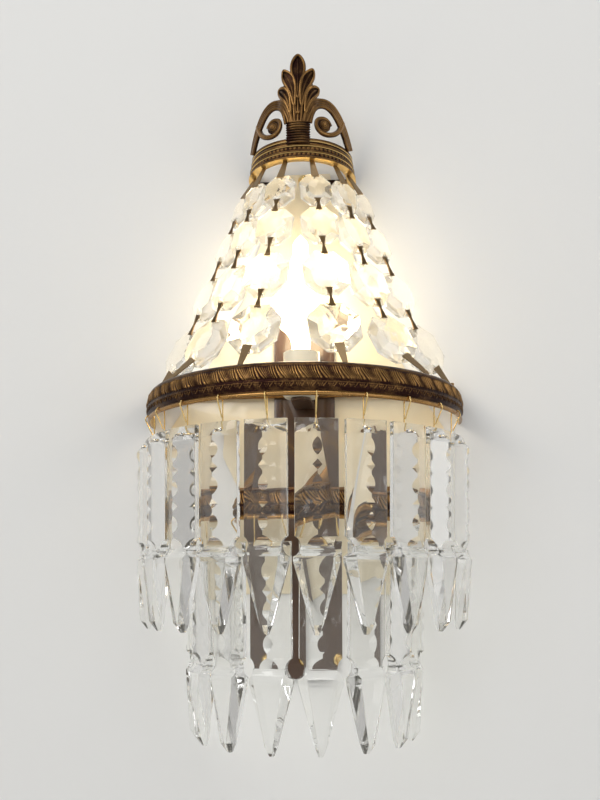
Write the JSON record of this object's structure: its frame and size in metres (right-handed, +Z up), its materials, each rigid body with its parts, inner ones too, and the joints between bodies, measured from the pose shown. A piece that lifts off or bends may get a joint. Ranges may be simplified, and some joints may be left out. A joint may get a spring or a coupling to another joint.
{
  "type": "wall lamp",
  "caption": "Half-round crystal wall lamp: a brass crown, strands of octagonal crystals and two tiers of hanging spear prisms around a bulb, on a flat wall plate.",
  "frame": {"origin": "on the wall, on the lamp's centre line, level with the bottom edge of the upper ring", "axes": "+Z up, +X to the viewer's right, +Y into the wall; the lamp stands out towards -Y"},
  "size_m": [0.228, 0.1523, 0.478],
  "materials": {
    "cream_enamel": "satin",
    "bronze_paint": "dark bronze",
    "antique_brass": "antiqued, dark in the hollows",
    "bright_brass": "polished",
    "dark_brass": "dull",
    "crystal": "clear, polished facets",
    "bulb_glass": "frosted warm white",
    "bulb_cap_metal": "plain",
    "filament": "plain",
    "holder_resin": "ivory, matt",
    "block_resin": "white, matt",
    "lead_sleeve": "insulated"
  },
  "bodies": {
    "frame": {"reflector_plate": "cream_enamel", "centre_bar": "bronze_paint", "upper_ring": "antique_brass", "lower_ring": "antique_brass", "frame_screws": "bright_brass", "crown_band": "antique_brass", "crown_cresting": "antique_brass", "crown_screws": "bright_brass", "wall_screws": "bright_brass", "lamp_arm": "bronze_paint", "holder_body": "holder_resin", "holder_contacts": "bright_brass", "bulb_cap": "bulb_cap_metal", "bulb_glass": "bulb_glass", "bulb_filament": "filament", "terminal_block": "block_resin", "lead_wires": "lead_sleeve", "octagons_first_row": "crystal", "octagons_second_row": "crystal", "octagons_third_row": "crystal", "octagons_fourth_row": "crystal", "strand_pins": "dark_brass", "strand_hooks": "antique_brass", "strand_feet": "antique_brass"},
    "upper_drop_01": {"upper_prism_01": "crystal", "upper_hook_01": "bright_brass"},
    "upper_drop_02": {"upper_prism_02": "crystal", "upper_hook_02": "bright_brass"},
    "upper_drop_03": {"upper_prism_03": "crystal", "upper_hook_03": "bright_brass"},
    "upper_drop_04": {"upper_prism_04": "crystal", "upper_hook_04": "bright_brass"},
    "upper_drop_05": {"upper_prism_05": "crystal", "upper_hook_05": "bright_brass"},
    "upper_drop_06": {"upper_prism_06": "crystal", "upper_hook_06": "bright_brass"},
    "upper_drop_07": {"upper_prism_07": "crystal", "upper_hook_07": "bright_brass"},
    "upper_drop_08": {"upper_prism_08": "crystal", "upper_hook_08": "bright_brass"},
    "upper_drop_09": {"upper_prism_09": "crystal", "upper_hook_09": "bright_brass"},
    "upper_drop_10": {"upper_prism_10": "crystal", "upper_hook_10": "bright_brass"},
    "lower_drop_01": {"lower_prism_01": "crystal", "lower_hook_01": "bright_brass"},
    "lower_drop_02": {"lower_prism_02": "crystal", "lower_hook_02": "bright_brass"},
    "lower_drop_03": {"lower_prism_03": "crystal", "lower_hook_03": "bright_brass"},
    "lower_drop_04": {"lower_prism_04": "crystal", "lower_hook_04": "bright_brass"},
    "lower_drop_05": {"lower_prism_05": "crystal", "lower_hook_05": "bright_brass"},
    "lower_drop_06": {"lower_prism_06": "crystal", "lower_hook_06": "bright_brass"},
    "lower_drop_07": {"lower_prism_07": "crystal", "lower_hook_07": "bright_brass"},
    "lower_drop_08": {"lower_prism_08": "crystal", "lower_hook_08": "bright_brass"}
  },
  "joints": [
    {"name": "upper_drop_01_swing", "type": "hinge", "parent": "frame", "child": "upper_drop_01", "pos_m": [-0.10548, -0.03719, 0.0034], "axis": [-0.3165, 0.9486, 0], "range_deg": [-1, 25]},
    {"name": "upper_drop_02_swing", "type": "hinge", "parent": "frame", "child": "upper_drop_02", "pos_m": [-0.09181, -0.06474, 0.0034], "axis": [-0.5642, 0.8256, 0], "range_deg": [-1, 25]},
    {"name": "upper_drop_03_swing", "type": "hinge", "parent": "frame", "child": "upper_drop_03", "pos_m": [-0.07111, -0.0875, 0.0034], "axis": [-0.7688, 0.6394, 0], "range_deg": [-1, 25]},
    {"name": "upper_drop_04_swing", "type": "hinge", "parent": "frame", "child": "upper_drop_04", "pos_m": [-0.04496, -0.1037, 0.0034], "axis": [-0.9146, 0.4043, 0], "range_deg": [-1, 25]},
    {"name": "upper_drop_05_swing", "type": "hinge", "parent": "frame", "child": "upper_drop_05", "pos_m": [-0.01538, -0.11213, 0.0034], "axis": [-0.9904, 0.1383, 0], "range_deg": [-1, 25]},
    {"name": "upper_drop_06_swing", "type": "hinge", "parent": "frame", "child": "upper_drop_06", "pos_m": [0.01538, -0.11213, 0.0034], "axis": [-0.9904, -0.1383, 0], "range_deg": [-1, 25]},
    {"name": "upper_drop_07_swing", "type": "hinge", "parent": "frame", "child": "upper_drop_07", "pos_m": [0.04496, -0.1037, 0.0034], "axis": [-0.9146, -0.4043, 0], "range_deg": [-1, 25]},
    {"name": "upper_drop_08_swing", "type": "hinge", "parent": "frame", "child": "upper_drop_08", "pos_m": [0.07111, -0.0875, 0.0034], "axis": [-0.7688, -0.6394, 0], "range_deg": [-1, 25]},
    {"name": "upper_drop_09_swing", "type": "hinge", "parent": "frame", "child": "upper_drop_09", "pos_m": [0.09181, -0.06474, 0.0034], "axis": [-0.5642, -0.8256, 0], "range_deg": [-1, 25]},
    {"name": "upper_drop_10_swing", "type": "hinge", "parent": "frame", "child": "upper_drop_10", "pos_m": [0.10548, -0.03719, 0.0034], "axis": [-0.3165, -0.9486, 0], "range_deg": [-1, 25]},
    {"name": "lower_drop_01_swing", "type": "hinge", "parent": "frame", "child": "lower_drop_01", "pos_m": [-0.07431, -0.01581, -0.0686], "axis": [-0.1045, 0.9945, 0], "range_deg": [-1, 8]},
    {"name": "lower_drop_02_swing", "type": "hinge", "parent": "frame", "child": "lower_drop_02", "pos_m": [-0.06471, -0.04536, -0.0686], "axis": [-0.5, 0.866, 0], "range_deg": [-1, 8]},
    {"name": "lower_drop_03_swing", "type": "hinge", "parent": "frame", "child": "lower_drop_03", "pos_m": [-0.04392, -0.06845, -0.0686], "axis": [-0.809, 0.5878, 0], "range_deg": [-1, 8]},
    {"name": "lower_drop_04_swing", "type": "hinge", "parent": "frame", "child": "lower_drop_04", "pos_m": [-0.01554, -0.08109, -0.0686], "axis": [-0.9781, 0.2079, 0], "range_deg": [-1, 8]},
    {"name": "lower_drop_05_swing", "type": "hinge", "parent": "frame", "child": "lower_drop_05", "pos_m": [0.01554, -0.08109, -0.0686], "axis": [-0.9781, -0.2079, 0], "range_deg": [-1, 8]},
    {"name": "lower_drop_06_swing", "type": "hinge", "parent": "frame", "child": "lower_drop_06", "pos_m": [0.04392, -0.06845, -0.0686], "axis": [-0.809, -0.5878, 0], "range_deg": [-1, 8]},
    {"name": "lower_drop_07_swing", "type": "hinge", "parent": "frame", "child": "lower_drop_07", "pos_m": [0.06471, -0.04536, -0.0686], "axis": [-0.5, -0.866, 0], "range_deg": [-1, 8]},
    {"name": "lower_drop_08_swing", "type": "hinge", "parent": "frame", "child": "lower_drop_08", "pos_m": [0.07431, -0.01581, -0.0686], "axis": [-0.1045, -0.9945, 0], "range_deg": [-1, 8]}
  ]
}
